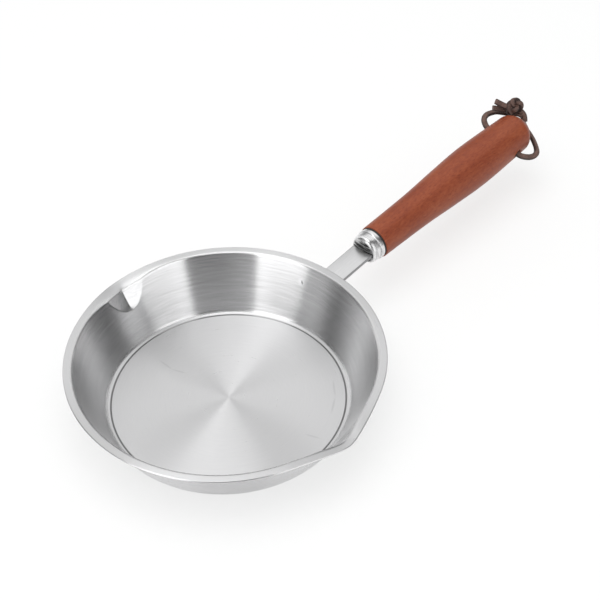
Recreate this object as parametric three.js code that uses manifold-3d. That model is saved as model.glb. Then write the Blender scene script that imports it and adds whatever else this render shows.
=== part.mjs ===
// Small pressed-steel egg pan with a turned wooden grip and a leather hanging loop.
// Millimetres, +Z up. The origin is the centre of the bowl's underside, and the handle runs along +X.
import * as THREE from 'three';
import { mergeVertices } from 'three/addons/utils/BufferGeometryUtils.js';
import Module from 'manifold-3d';

const wasm = await Module();
wasm.setup();

const radians = THREE.MathUtils.degToRad;

// Bowl
const RIM_RADIUS = 59.2;
const PAN_HEIGHT = 23.4;
const SHEET_THICKNESS = 0.8;
const FLOOR_RADIUS = 44.4; // flat floor, inside, up to the corner fillet
const CORNER_FILLET = 2;
const RIM_FLAT = 2.4; // flat part of the rim flange
const RIM_BEND = 1.4; // bend between the wall and the flange, on the inner side

// Pouring lips, one on each side of the handle
const LIP_REACH = 2.1; // how far the rim goes outwards at the lip
const LIP_DROP = 2.2; // how far the rim dips at the lip
const LIP_HALF_ANGLE = radians(21.7);
const LIP_ROUNDING = radians(4); // rounding of the V's fold
const LIP_FOOT_HEIGHT = 8;

// Handle. Lengths along the handle start at the rim and follow the handle's axis.
const HANDLE_LENGTH = 120.5;
const HANDLE_RISE = radians(1.03);
const AXIS_BELOW_RIM = 0.7;
const EXPOSED_STRAP = 16.7; // from the rim to the front of the ferrule
const SEAT_GAP = 0.3; // clearance between neighbouring pieces

// Strap and tang
const STRAP_THICKNESS = 1.5;
const STRAP_WIDTH = 9.3;
const STRAP_INSIDE_FERRULE = 2.2; // full width carries on this far behind the front of the ferrule
const TANG_SHOULDER = 1.6; // taper from the strap to the tang
const TANG_WIDTH = 4.6;
const TANG_LENGTH = 48; // behind the shoulder
const BORE_END_ROOM = 1.2; // room in the grip's bore past the tang
const WELD_PAD_WIDTH = 32;
const WELD_PAD_HEIGHT = 10;
const WELD_PAD_CORNER = 3;

// Ferrule: a domed cap with a raised collar next to the wood
const FERRULE_LENGTH = 6.2;
const FERRULE_WALL = 0.6;
const DOME_RADIUS = 6.1;
const DOME_LENGTH = 4;
const COLLAR_RADIUS = 6.5;
const COLLAR_LENGTH = 1.9;
const COLLAR_EDGE = 0.4;

// Dark ring between the ferrule and the wood
const SEAL_THICKNESS = 0.4;

// Wooden grip
const GRIP_NECK_RADIUS = 6.9;
const GRIP_WAIST_RADIUS = 7.45;
const GRIP_WAIST_STATION = 25; // behind the front shoulder
const GRIP_SWELL_RADIUS = 8.5; // half-way between the waist and the belly
const GRIP_BELLY_RADIUS = 9.2;
const GRIP_BELLY_FROM_BUTT = 34;
const GRIP_BUTT_RADIUS = 8.35;
const BUTT_ROUNDING = 7.3; // length of the rounded end
const BUTT_FULLNESS = 1.55; // exponent of the rounded end: 2 is an ellipse, less is more pointed
const GRIP_EDGE = 0.4; // rounding of the front shoulder
const SPIGOT_LENGTH = 3.6; // turned end of the wood inside the ferrule
const TANG_BORE_RADIUS = 3.8;
const CORD_HOLE_RADIUS = 2.1;
const CORD_HOLE_FROM_BUTT = 14.2;
const CORD_HOLE_TILT = radians(18); // about the handle's axis: the left end is the higher one

// Leather lace. Places are measured from the middle of the cord hole:
// towards the butt, to the left along the hole, and square to both, upwards.
const CORD_DIAMETER = 2.4;
const KNOT_CENTRE = new THREE.Vector3(15.1, 7, 5.5);
const KNOT_CORE_RADIUS = 2.3;
const KNOT_TURN_RADIUS = 1.95;
const KNOT_TURN_TILTS = [
  [radians(29), radians(23)],
  [radians(97), radians(-34)],
];
const CORD_STEPS = 60;
const TAIL_STEPS = 4;
const CORD_ROUTE = [
  [13.62, 7.7, 1.48],
  [12.33, 8.78, 1.09],
  [11.14, 10.26, 0.95],
  [9.83, 12.01, 0.52],
  [8.06, 13.19, 0],
  [6.05, 13.73, -0.1],
  [4.05, 13.49, -0.09],
  [2.36, 12.6, 0.03],
  [1.09, 11.18, 0.23],
  [0.37, 9.68, 0.14],
  [0, 7, 0],
  [0, 2.5, 0],
  [0, -2.5, 0],
  [0, -7, 0],
  [0.35, -9.58, -0.05],
  [1.34, -11.4, 0.1],
  [3.09, -12.84, 0.03],
  [5.45, -13.45, -0.25],
  [7.96, -12.94, -0.65],
  [9.99, -11.49, -1.22],
  [11.77, -9.64, -1.78],
  [13.16, -7.14, -1.67],
  [14.5, -4.43, -1.87],
  [15.44, -1.5, -1.74],
  [16.01, 0.93, -0.51],
  [16.67, 2.35, 1.09],
  [16.72, 3.3, 2.52],
  [16.47, 4.17, 3.51],
];
const LONG_TAIL_ROUTE = [
  [12.4, 9.4, 6.6],
  [9.8, 11, 7.4],
  [6.9, 12.6, 8.8],
];
const SHORT_TAIL_ROUTE = [
  [12.3, 9.5, 3.7],
  [9.6, 11.2, 4.3],
  [6.9, 12.7, 4.6],
];

// Fineness of the round shapes
const BOWL_SEGMENTS = 96;
const TURNED_SEGMENTS = 36;
const HOLE_SEGMENTS = 20;
const ARC_STEPS = 3;
const WALL_STEPS = 5;
const SWELL_STEPS = 16;
const ROUND_END_STEPS = 8;
const CORD_SIDES = 8;
const MERGE_DISTANCE = 1e-4; // vertices closer than this are one

// Places worked out from the sizes above
const axisHeightAtRim = PAN_HEIGHT - AXIS_BELOW_RIM;
const ferruleFront = EXPOSED_STRAP;
const ferruleBack = ferruleFront + FERRULE_LENGTH;
const sealFront = ferruleBack + SEAT_GAP;
const sealBack = sealFront + SEAL_THICKNESS;
const gripFront = sealBack + SEAT_GAP;
const spigotFront = gripFront - SPIGOT_LENGTH;
const spigotRadius = COLLAR_RADIUS - COLLAR_EDGE - FERRULE_WALL - SEAT_GAP;
const shoulderStart = ferruleFront + STRAP_INSIDE_FERRULE;
const tangStart = shoulderStart + TANG_SHOULDER;
const tangEnd = tangStart + TANG_LENGTH;
const boreEnd = tangEnd + BORE_END_ROOM;
const cordHoleStation = HANDLE_LENGTH - CORD_HOLE_FROM_BUTT;
const cordRadius = CORD_DIAMETER / 2;

// Colours and finishes
const brushedSteel = new THREE.MeshStandardMaterial({ color: 0xcfd0d1, roughness: 0.34, metalness: 1 });
const strapSteel = new THREE.MeshStandardMaterial({ color: 0xd6d7d8, roughness: 0.42, metalness: 1 });
const polishedSteel = new THREE.MeshStandardMaterial({ color: 0xe4e4e5, roughness: 0.12, metalness: 1 });
const darkSeal = new THREE.MeshStandardMaterial({ color: 0x1d1b1a, roughness: 0.7, metalness: 0 });
const lacqueredWood = new THREE.MeshStandardMaterial({ color: 0x99502f, roughness: 0.4, metalness: 0 });
const setAdhesive = new THREE.MeshStandardMaterial({ color: 0xb9a878, roughness: 0.6, metalness: 0 });
const darkLeather = new THREE.MeshStandardMaterial({ color: 0x4a3732, roughness: 0.75, metalness: 0 });

// Closed geometry to a solid that can be joined and cut.
function toSolid(geometry) {
  const bare = geometry.clone();
  bare.deleteAttribute('normal');
  bare.deleteAttribute('uv');
  const welded = mergeVertices(bare, MERGE_DISTANCE);
  const corners = welded.index.array;
  const kept = [];
  for (let i = 0; i < corners.length; i += 3) {
    const [a, b, c] = [corners[i], corners[i + 1], corners[i + 2]];
    if (a !== b && b !== c && c !== a) {
      kept.push(a, b, c);
    }
  }
  const vertProperties = new Float32Array(welded.attributes.position.array);
  const triVerts = new Uint32Array(kept);
  return new wasm.Manifold(new wasm.Mesh({ numProp: 3, vertProperties, triVerts }));
}

// Solid back to a geometry.
function toGeometry(solid) {
  const mesh = solid.getMesh();
  const geometry = new THREE.BufferGeometry();
  geometry.setAttribute('position', new THREE.BufferAttribute(mesh.vertProperties, 3));
  geometry.setIndex(new THREE.BufferAttribute(mesh.triVerts, 1));
  geometry.computeVertexNormals();
  return geometry;
}

function namedMesh(name, geometry, material) {
  const mesh = new THREE.Mesh(geometry, material);
  mesh.name = name;
  return mesh;
}

// Turned shape about +Z. Points are [radius, height].
function turnUpright(profile, segments) {
  const points = profile.map(([radius, height]) => new THREE.Vector2(radius, height));
  return new THREE.LatheGeometry(points, segments).rotateX(Math.PI / 2);
}

// Turned shape about the handle's axis. Points are [station, radius].
function turnAlongHandle(profile) {
  const points = profile.map(([station, radius]) => new THREE.Vector2(radius, station));
  return new THREE.LatheGeometry(points, TURNED_SEGMENTS).rotateZ(-Math.PI / 2);
}

function outline(points) {
  return new THREE.Shape(points.map(([x, y]) => new THREE.Vector2(x, y)));
}

// Plan outline [x, y], made as thick as asked about the middle plane.
function extrudeUp(shape, height) {
  const geometry = new THREE.ExtrudeGeometry(shape, { depth: height, bevelEnabled: false });
  return geometry.translate(0, 0, -height / 2);
}

// Side outline [x, z], made as wide as asked about the middle plane.
function extrudeAcross(shape, width) {
  return extrudeUp(shape, width).rotateX(Math.PI / 2);
}

function arc(centreX, centreY, radius, from, to, steps) {
  const points = [];
  for (let i = 0; i <= steps; i += 1) {
    const angle = from + ((to - from) * i) / steps;
    points.push([centreX + radius * Math.cos(angle), centreY + radius * Math.sin(angle)]);
  }
  return points;
}

// Inner face of the bowl: floor, corner fillet, straight wall, bend and flange.
const filletCentre = [FLOOR_RADIUS, SHEET_THICKNESS + CORNER_FILLET];
const bendCentre = [RIM_RADIUS - RIM_FLAT, PAN_HEIGHT - RIM_BEND];
const centreRun = bendCentre[0] - filletCentre[0];
const centreRise = bendCentre[1] - filletCentre[1];
const centreDistance = Math.hypot(centreRun, centreRise);
const wallAngle = Math.atan2(centreRise, centreRun) + Math.asin((CORNER_FILLET + RIM_BEND) / centreDistance);
const wallFoot = [
  filletCentre[0] + CORNER_FILLET * Math.sin(wallAngle),
  filletCentre[1] - CORNER_FILLET * Math.cos(wallAngle),
];
const wallTop = [
  bendCentre[0] - RIM_BEND * Math.sin(wallAngle),
  bendCentre[1] + RIM_BEND * Math.cos(wallAngle),
];

// Section of the bowl at a depth below its inner face, from the axis to the start of the rim's round edge.
function bowlFace(depth) {
  const slope = wallAngle - Math.PI / 2;
  const fillet = arc(...filletCentre, CORNER_FILLET + depth, -Math.PI / 2, slope, ARC_STEPS);
  const bend = arc(...bendCentre, RIM_BEND - depth, Math.PI + slope, Math.PI / 2, ARC_STEPS);
  const foot = fillet.at(-1);
  const top = bend[0];
  const wall = [];
  for (let i = 1; i < WALL_STEPS; i += 1) {
    const share = i / WALL_STEPS;
    wall.push([foot[0] + (top[0] - foot[0]) * share, foot[1] + (top[1] - foot[1]) * share]);
  }
  return [[0, SHEET_THICKNESS - depth], ...fillet, ...wall, ...bend];
}

// Radius of the wall's outside face, moved outwards by a gap, at a height.
function outsideRadius(height, gap) {
  const inside = wallFoot[0] + (height - wallFoot[1]) / Math.tan(wallAngle);
  return inside + (SHEET_THICKNESS + gap) / Math.sin(wallAngle);
}

// Presses the two pouring lips: a V that widens from its foot on the wall to the rim.
function pressLips(geometry) {
  const position = geometry.attributes.position;
  const fullDepth = 1 / Math.cos(LIP_HALF_ANGLE) - 1;
  for (let i = 0; i < position.count; i += 1) {
    const [x, y, z] = [position.getX(i), position.getY(i), position.getZ(i)];
    const climb = THREE.MathUtils.clamp((z - LIP_FOOT_HEIGHT) / (PAN_HEIGHT - LIP_FOOT_HEIGHT), 0, 1);
    const fromLip = Math.atan2(Math.abs(x), Math.abs(y));
    const rounded = Math.hypot(fromLip, LIP_ROUNDING) - LIP_ROUNDING;
    const inside = Math.max(0, LIP_HALF_ANGLE * climb - rounded);
    const depth = (1 / Math.cos(inside) - 1) / fullDepth;
    const stretch = 1 + (LIP_REACH * depth) / Math.max(Math.hypot(x, y), FLOOR_RADIUS);
    position.setXYZ(i, x * stretch, y * stretch, z - LIP_DROP * depth);
  }
  return geometry;
}

function makeBowl() {
  const edgeRadius = SHEET_THICKNESS / 2;
  const edgeCentre = [RIM_RADIUS - edgeRadius, PAN_HEIGHT - edgeRadius];
  const edge = arc(...edgeCentre, edgeRadius, -Math.PI / 2, Math.PI / 2, ARC_STEPS);
  const profile = [...bowlFace(SHEET_THICKNESS), ...edge, ...bowlFace(0).reverse()];
  return pressLips(turnUpright(profile, BOWL_SEGMENTS));
}

// Handle frame: +X along the handle's axis, starting at the rim.
const handle = new THREE.Group();
handle.position.set(RIM_RADIUS, 0, axisHeightAtRim);
handle.rotation.y = -HANDLE_RISE;
handle.updateMatrix();
const toHandleFrame = handle.matrix.clone().invert();

// Middle line of the strap and tang, in the handle frame, as [station, height].
const strapMiddleAtRim = PAN_HEIGHT - SHEET_THICKNESS - SEAT_GAP - STRAP_THICKNESS / 2;
const strapHeightAtRim = strapMiddleAtRim - axisHeightAtRim;
const strapSlope = -strapHeightAtRim / shoulderStart;
const strapStart = outsideRadius(strapMiddleAtRim, SEAT_GAP + STRAP_THICKNESS / 2) - RIM_RADIUS;

// Strap and tang without the weld pad, grown all round by a clearance.
function strapBar(clearance) {
  const half = STRAP_THICKNESS / 2 + clearance;
  const heightAtStart = strapHeightAtRim + strapSlope * strapStart;
  const end = tangEnd + clearance;
  const side = outline([
    [strapStart, heightAtStart - half],
    [shoulderStart, -half],
    [end, -half],
    [end, half],
    [shoulderStart, half],
    [strapStart, heightAtStart + half],
  ]);
  const strapHalf = STRAP_WIDTH / 2 + clearance;
  const tangHalf = TANG_WIDTH / 2 + clearance;
  const plan = outline([
    [strapStart, -strapHalf],
    [shoulderStart + clearance, -strapHalf],
    [tangStart + clearance, -tangHalf],
    [end, -tangHalf],
    [end, tangHalf],
    [tangStart + clearance, tangHalf],
    [shoulderStart + clearance, strapHalf],
    [strapStart, strapHalf],
  ]);
  const sideSolid = toSolid(extrudeAcross(side, 2 * STRAP_WIDTH));
  const planSolid = toSolid(extrudeUp(plan, 2 * STRAP_WIDTH));
  return sideSolid.intersect(planSolid);
}

// Rounded plate that hugs the wall under the rim, in the bowl's frame.
function weldPad() {
  const top = strapMiddleAtRim + strapSlope * strapStart;
  const bottom = top - WELD_PAD_HEIGHT;
  const inner = (height) => outsideRadius(height, SEAT_GAP);
  const outer = (height) => outsideRadius(height, SEAT_GAP + STRAP_THICKNESS);
  const [low, high] = [bottom - WELD_PAD_CORNER, top + WELD_PAD_CORNER];
  const shell = turnUpright(
    [
      [inner(low), low],
      [outer(low), low],
      [outer(high), high],
      [inner(high), high],
      [inner(low), low],
    ],
    BOWL_SEGMENTS,
  );
  const half = WELD_PAD_WIDTH / 2 - WELD_PAD_CORNER;
  const plate = outline([
    ...arc(half, bottom + WELD_PAD_CORNER, WELD_PAD_CORNER, -Math.PI / 2, 0, ARC_STEPS),
    ...arc(half, top - WELD_PAD_CORNER, WELD_PAD_CORNER, 0, Math.PI / 2, ARC_STEPS),
    ...arc(-half, top - WELD_PAD_CORNER, WELD_PAD_CORNER, Math.PI / 2, Math.PI, ARC_STEPS),
    ...arc(-half, bottom + WELD_PAD_CORNER, WELD_PAD_CORNER, Math.PI, 1.5 * Math.PI, ARC_STEPS),
  ]);
  const block = new THREE.ExtrudeGeometry(plate, { depth: 2 * RIM_RADIUS, bevelEnabled: false });
  const across = new THREE.Vector3(0, 1, 0);
  const up = new THREE.Vector3(0, 0, 1);
  const outwards = new THREE.Vector3(1, 0, 0);
  block.applyMatrix4(new THREE.Matrix4().makeBasis(across, up, outwards));
  return toGeometry(toSolid(shell).intersect(toSolid(block)));
}

function makeStrap() {
  const pad = toSolid(weldPad().applyMatrix4(toHandleFrame));
  return toGeometry(strapBar(0).add(pad));
}

function makeFerrule() {
  const domeBack = ferruleFront + DOME_LENGTH;
  const collarFront = ferruleBack - COLLAR_LENGTH;
  const dome = (inset) => {
    const points = [];
    for (let i = 0; i <= ROUND_END_STEPS; i += 1) {
      const angle = (Math.PI / 2) * (1 - i / ROUND_END_STEPS);
      const length = DOME_LENGTH - inset;
      const radius = DOME_RADIUS - inset;
      points.push([domeBack - length * Math.sin(angle), radius * Math.cos(angle)]);
    }
    points[0][1] = 0;
    return points;
  };
  const outer = [
    ...dome(0),
    [collarFront, DOME_RADIUS],
    [collarFront + COLLAR_EDGE, COLLAR_RADIUS],
    [ferruleBack - COLLAR_EDGE, COLLAR_RADIUS],
    [ferruleBack, COLLAR_RADIUS - COLLAR_EDGE],
  ];
  const boreRadius = COLLAR_RADIUS - COLLAR_EDGE - FERRULE_WALL;
  const inner = [...dome(FERRULE_WALL), [ferruleBack, boreRadius]];
  const cap = toSolid(turnAlongHandle([...outer, ...inner.reverse()]));
  return toGeometry(cap.subtract(strapBar(SEAT_GAP)));
}

function makeSeal() {
  const inner = spigotRadius + SEAT_GAP;
  return turnAlongHandle([
    [sealFront, inner],
    [sealFront, COLLAR_RADIUS],
    [sealBack, COLLAR_RADIUS],
    [sealBack, inner],
    [sealFront, inner],
  ]);
}

// Outside of the grip from its front shoulder to the tip of the butt, as [station, radius].
function gripOutside() {
  const roundingStart = HANDLE_LENGTH - BUTT_ROUNDING;
  const belly = HANDLE_LENGTH - GRIP_BELLY_FROM_BUTT;
  const waist = gripFront + GRIP_WAIST_STATION;
  const swell = new THREE.SplineCurve([
    new THREE.Vector2(gripFront + GRIP_EDGE, GRIP_NECK_RADIUS),
    new THREE.Vector2(waist, GRIP_WAIST_RADIUS),
    new THREE.Vector2((waist + belly) / 2, GRIP_SWELL_RADIUS),
    new THREE.Vector2(belly, GRIP_BELLY_RADIUS),
    new THREE.Vector2(roundingStart, GRIP_BUTT_RADIUS),
  ]);
  const points = [[gripFront, GRIP_NECK_RADIUS - GRIP_EDGE]];
  swell.getPoints(SWELL_STEPS).forEach((point) => points.push([point.x, point.y]));
  for (let i = 1; i < ROUND_END_STEPS; i += 1) {
    const along = Math.sin((Math.PI / 2) * (i / ROUND_END_STEPS));
    const radius = GRIP_BUTT_RADIUS * (1 - along ** BUTT_FULLNESS) ** (1 / BUTT_FULLNESS);
    points.push([roundingStart + BUTT_ROUNDING * along, radius]);
  }
  points.push([HANDLE_LENGTH, 0]);
  return points;
}

function makeGrip() {
  const profile = [
    [boreEnd, 0],
    [boreEnd, TANG_BORE_RADIUS],
    [spigotFront, TANG_BORE_RADIUS],
    [spigotFront, spigotRadius],
    [gripFront, spigotRadius],
    ...gripOutside(),
  ];
  const turned = toSolid(turnAlongHandle(profile));
  const holeLength = 4 * GRIP_BELLY_RADIUS;
  const hole = new THREE.CylinderGeometry(CORD_HOLE_RADIUS, CORD_HOLE_RADIUS, holeLength, HOLE_SEGMENTS);
  hole.rotateX(CORD_HOLE_TILT).translate(cordHoleStation, 0, 0);
  return toGeometry(turned.subtract(toSolid(hole)));
}

function makeAdhesive() {
  const radius = TANG_BORE_RADIUS - SEAT_GAP;
  const plug = turnAlongHandle([
    [spigotFront, 0],
    [spigotFront, radius],
    [boreEnd - SEAT_GAP, radius],
    [boreEnd - SEAT_GAP, 0],
  ]);
  return toGeometry(toSolid(plug).subtract(strapBar(SEAT_GAP)));
}

// Length of lace along a route.
function makeCord(route, steps) {
  const places = route.map(([along, left, up]) => new THREE.Vector3(along, left, up));
  const path = new THREE.CatmullRomCurve3(places, false, 'centripetal');
  const section = outline(arc(0, 0, cordRadius, 0, 2 * Math.PI, CORD_SIDES).slice(0, CORD_SIDES));
  return new THREE.ExtrudeGeometry(section, { steps, extrudePath: path, bevelEnabled: false });
}

// Knot: a round core with two crossing turns of lace over it.
function makeKnot() {
  let knot = toSolid(new THREE.SphereGeometry(KNOT_CORE_RADIUS, 2 * CORD_SIDES, CORD_SIDES));
  KNOT_TURN_TILTS.forEach(([aboutX, aboutY]) => {
    const turn = new THREE.TorusGeometry(KNOT_TURN_RADIUS, cordRadius, CORD_SIDES, 2 * CORD_SIDES);
    turn.rotateX(aboutX).rotateY(aboutY);
    knot = knot.add(toSolid(turn));
  });
  return toGeometry(knot).translate(KNOT_CENTRE.x, KNOT_CENTRE.y, KNOT_CENTRE.z);
}

const cordLoop = new THREE.Group();
cordLoop.position.x = cordHoleStation;
cordLoop.rotation.x = CORD_HOLE_TILT;
cordLoop.add(
  namedMesh('hanging_cord', makeCord(CORD_ROUTE, CORD_STEPS), darkLeather),
  namedMesh('cord_knot', makeKnot(), darkLeather),
  namedMesh('cord_tail_long', makeCord(LONG_TAIL_ROUTE, TAIL_STEPS), darkLeather),
  namedMesh('cord_tail_short', makeCord(SHORT_TAIL_ROUTE, TAIL_STEPS), darkLeather),
);

handle.add(
  namedMesh('handle_strap', makeStrap(), strapSteel),
  namedMesh('ferrule', makeFerrule(), polishedSteel),
  namedMesh('ferrule_seal', makeSeal(), darkSeal),
  namedMesh('wood_grip', makeGrip(), lacqueredWood),
  namedMesh('tang_adhesive', makeAdhesive(), setAdhesive),
  cordLoop,
);

const eggPan = new THREE.Group();
eggPan.add(namedMesh('pan_body', makeBowl(), brushedSteel), handle);

export default eggPan;
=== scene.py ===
"""Egg pan: a pressed steel bowl, a flat handle strap, a polished ferrule, a turned grip and a leather lace.

Metres, +Z up. The origin is the centre of the bowl's underside, and the handle runs along +X.
"""

import math
from collections import namedtuple

import bmesh
import bpy
from mathutils import Matrix, Vector
from mathutils.geometry import interpolate_bezier


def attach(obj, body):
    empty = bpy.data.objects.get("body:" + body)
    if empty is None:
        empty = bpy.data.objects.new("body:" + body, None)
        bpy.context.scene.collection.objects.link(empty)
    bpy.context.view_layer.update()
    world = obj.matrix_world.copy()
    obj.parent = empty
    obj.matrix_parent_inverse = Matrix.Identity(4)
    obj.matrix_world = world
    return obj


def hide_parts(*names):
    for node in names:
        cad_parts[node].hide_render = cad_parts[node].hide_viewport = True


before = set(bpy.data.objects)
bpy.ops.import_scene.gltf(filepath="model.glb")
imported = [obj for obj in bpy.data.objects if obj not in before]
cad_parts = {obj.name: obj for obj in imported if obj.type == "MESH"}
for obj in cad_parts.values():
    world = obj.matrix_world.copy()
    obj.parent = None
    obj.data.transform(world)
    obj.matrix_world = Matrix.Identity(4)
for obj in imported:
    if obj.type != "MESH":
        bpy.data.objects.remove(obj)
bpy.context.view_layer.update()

# Camera: the pan's origin is seen this far to the right, below and in front of it
VIEW_AZIMUTH = math.radians(-45.9)
VIEW_ELEVATION = math.radians(44.2)
VIEW_ROLL = math.radians(-1.8)
PAN_RIGHT = -0.02729
PAN_BELOW = 0.0346
PAN_AHEAD = 0.5632
LENS = 90
SENSOR_WIDTH = 36
SHIFT_X = -0.0025
SHIFT_Y = 0.0108

# Bowl: the flange's margin sets edge loops beside its two bends, which keep its shading flat
RIM_RADIUS = 0.0592
PAN_HEIGHT = 0.0234
SHEET_THICKNESS = 0.0008
FLOOR_RADIUS = 0.0444
CORNER_FILLET = 0.002
RIM_FLAT = 0.0024
RIM_BEND = 0.0014
FLANGE_MARGIN = 0.00015
FLOOR_LINE_WIDTH = 0.0006
FLOOR_LINE_DEPTH = 0.0003
BOWL_SEGMENTS = 400
WALL_STEPS = 56
BEND_STEPS = 8

# Pouring lips, each above a crease in the wall. The bowl's segments crowd towards them
LIP_REACH = 0.0021
LIP_DROP = 0.0022
LIP_HALF_ANGLE = math.radians(21.7)
LIP_ROUNDING = math.radians(3)
LIP_FOOT = 0.01
LIP_CROWDING = 0.4
CREASE_FOOT = 0.0144
CREASE_TOP = 0.022
CREASE_HALF_ANGLE = math.radians(9)
CREASE_SLOPE = 0.236
CREASE_FLARE = 0.4

# How far the wall bulges at a lip, how much the flange narrows, and how far the crease eases off towards it
Lip = namedtuple("Lip", "bulge narrowing ease")
LEFT_LIP = Lip(bulge=-0.0009, narrowing=0.0003, ease=0.1)
RIGHT_LIP = Lip(bulge=0.0018, narrowing=0.0005, ease=0.66)

# Handle: lengths along it start at the rim
HANDLE_LENGTH = 0.1205
HANDLE_RISE = math.radians(1.03)
AXIS_BELOW_RIM = 0.0007

# Strap and its weld pad
STRAP_THICKNESS = 0.0015
STRAP_WIDTH = 0.0093
STRAP_EDGE = 0.0003
STRAP_EDGE_STEPS = 3
SHOULDER_START = 0.0189
TANG_START = 0.0205
TANG_END = 0.0685
TANG_WIDTH = 0.0046
WELD_GAP = 0.0003
WELD_PAD_WIDTH = 0.032
WELD_PAD_HEIGHT = 0.010
WELD_PAD_CORNER = 0.003
WELD_PAD_STRIPS = 24

# Ferrule, and the dark ring behind it, which stands in for the line of shade between the ferrule and the
# wood
FERRULE_FRONT = 0.0167
DOME_LENGTH = 0.004
DOME_RADIUS = 0.0061
DOME_FULLNESS = 4.2
DOME_STEPS = 24
FERRULE_WALL = 0.0006
COLLAR_FRONT = 0.0210
COLLAR_RADIUS = 0.0065
COLLAR_EDGE = 0.0004
FERRULE_BACK = 0.0231
RING_BACK = 0.02365
SLOT_CLEARANCE = 0.0003

# Grip: its swell passes through these stations and radii
SPIGOT_FRONT = 0.0203
SPIGOT_RADIUS = 0.0052
BORE_RADIUS = 0.0038
BORE_END = 0.0697
GRIP_FRONT = 0.0237
GRIP_EDGE = 0.0004
GRIP_NECK = (0.0243, 0.0069)
GRIP_WAIST = (0.0489, 0.00745)
GRIP_SWELL = (0.0677, 0.0085)
GRIP_BELLY = (0.0865, 0.0092)
GRIP_BUTT = (0.1132, 0.00835)
SWELL_STEPS = 16
BUTT_FULLNESS = 1.55
BUTT_STEPS = 28
TURNED_SEGMENTS = 128
LACE_HOLE_STATION = 0.1063
LACE_HOLE_TILT = math.radians(18)
LACE_HOLE_RADIUS = 0.0021
LACE_HOLE_FLARE = 0.0006
LACE_HOLE_SEGMENTS = 48

# Lace: places are from the middle of its hole, towards the butt, to the left along the hole, and upwards
LACE_WIDTH = 0.0024
LACE_THICKNESS = 0.0016
LACE_SIDES = 20
LACE_SQUARENESS = 0.55
LACE_STEPS = 6
LACE_FACING = Vector((0.3, 0, 1))
LACE_ROUTE = [
    (0.01362, 0.00770, 0.00148),
    (0.01233, 0.00878, 0.00109),
    (0.01114, 0.01026, 0.00095),
    (0.00983, 0.01201, 0.00052),
    (0.00806, 0.01319, 0.00000),
    (0.00605, 0.01373, -0.00010),
    (0.00405, 0.01349, -0.00009),
    (0.00236, 0.01260, 0.00003),
    (0.00109, 0.01118, 0.00023),
    (0.00037, 0.00968, 0.00014),
    (0.00000, 0.00700, 0.00000),
    (0.00000, 0.00250, 0.00000),
    (0.00000, -0.00250, 0.00000),
    (0.00000, -0.00700, 0.00000),
    (0.00035, -0.00958, -0.00005),
    (0.00134, -0.01140, 0.00010),
    (0.00309, -0.01284, 0.00003),
    (0.00545, -0.01345, -0.00025),
    (0.00796, -0.01294, -0.00065),
    (0.00999, -0.01149, -0.00122),
    (0.01177, -0.00964, -0.00178),
    (0.01316, -0.00714, -0.00167),
    (0.01450, -0.00443, -0.00187),
    (0.01544, -0.00150, -0.00174),
    (0.01601, 0.00093, -0.00051),
    (0.01667, 0.00235, 0.00109),
    (0.01672, 0.00330, 0.00252),
    (0.01647, 0.00417, 0.00351),
]
LONG_TAIL_ROUTE = [
    (0.01279, 0.00744, 0.00472),
    (0.01115, 0.00905, 0.00567),
    (0.00896, 0.01097, 0.00711),
    (0.00684, 0.01296, 0.00862),
]
SHORT_TAIL_ROUTE = [
    (0.01370, 0.00757, 0.00325),
    (0.01175, 0.00897, 0.00359),
    (0.00912, 0.01099, 0.00407),
    (0.00666, 0.01283, 0.00447),
]

# Knot: lace that goes round a ring and winds about it. A turn is a winding's radius, and sizes the ring too
KNOT_CENTRE = (0.01501, 0.00725, 0.00552)
KNOT_STRANDS = [
    [
        (0.01233, 0.00876, 0.00109),
        (0.01354, 0.00755, 0.00145),
        (0.01478, 0.00591, 0.00194),
        (0.01552, 0.00416, 0.00245),
        (0.01589, 0.00276, 0.00248),
    ],
    [
        (0.01647, 0.00103, 0.00012),
        (0.01664, 0.00178, 0.00142),
        (0.01664, 0.00284, 0.00272),
        (0.01587, 0.00451, 0.00398),
        (0.01489, 0.00607, 0.00484),
    ],
    [
        (0.01240, 0.00671, 0.00305),
        (0.01097, 0.00730, 0.00453),
        (0.01103, 0.00822, 0.00570),
        (0.01235, 0.00911, 0.00618),
        (0.01464, 0.00937, 0.00572),
    ],
    [
        (0.01489, 0.00607, 0.00484),
        (0.01512, 0.00732, 0.00530),
        (0.01500, 0.00830, 0.00560),
        (0.01464, 0.00937, 0.00572),
    ],
]
KNOT_TURN = 0.0009
KNOT_RING = 2
KNOT_ROUNDS = 2
KNOT_WINDS = 3
KNOT_DEPTH = 1.5
KNOT_LACE_WIDTH = 0.0021
KNOT_LACE_THICKNESS = 0.0014
KNOT_STEPS = 120

# Shared by all pieces
QUARTER_TURN = math.pi / 2
FULL_TURN = 2 * math.pi
EDGE_STEPS = 6
MERGE_DISTANCE = 1e-6
SHARP_ANGLE = math.radians(38)

handle_frame = Matrix.Translation((RIM_RADIUS, 0, PAN_HEIGHT - AXIS_BELOW_RIM))
handle_frame = handle_frame @ Matrix.Rotation(-HANDLE_RISE, 4, "Y")
hole_frame = handle_frame @ Matrix.Translation((LACE_HOLE_STATION, 0, 0))
hole_frame = hole_frame @ Matrix.Rotation(LACE_HOLE_TILT, 4, "X")


# Camera

def view_axes():
    """Directions that are to the right, down and ahead in the photograph."""
    level_right = Vector((math.cos(VIEW_AZIMUTH), math.sin(VIEW_AZIMUTH), 0))
    level_ahead = Vector((-math.sin(VIEW_AZIMUTH), math.cos(VIEW_AZIMUTH), 0))
    ahead = level_ahead * math.cos(VIEW_ELEVATION) - Vector((0, 0, math.sin(VIEW_ELEVATION)))
    level_down = ahead.cross(level_right)
    right = level_right * math.cos(VIEW_ROLL) - level_down * math.sin(VIEW_ROLL)
    down = level_right * math.sin(VIEW_ROLL) + level_down * math.cos(VIEW_ROLL)
    return right, down, ahead


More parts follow.
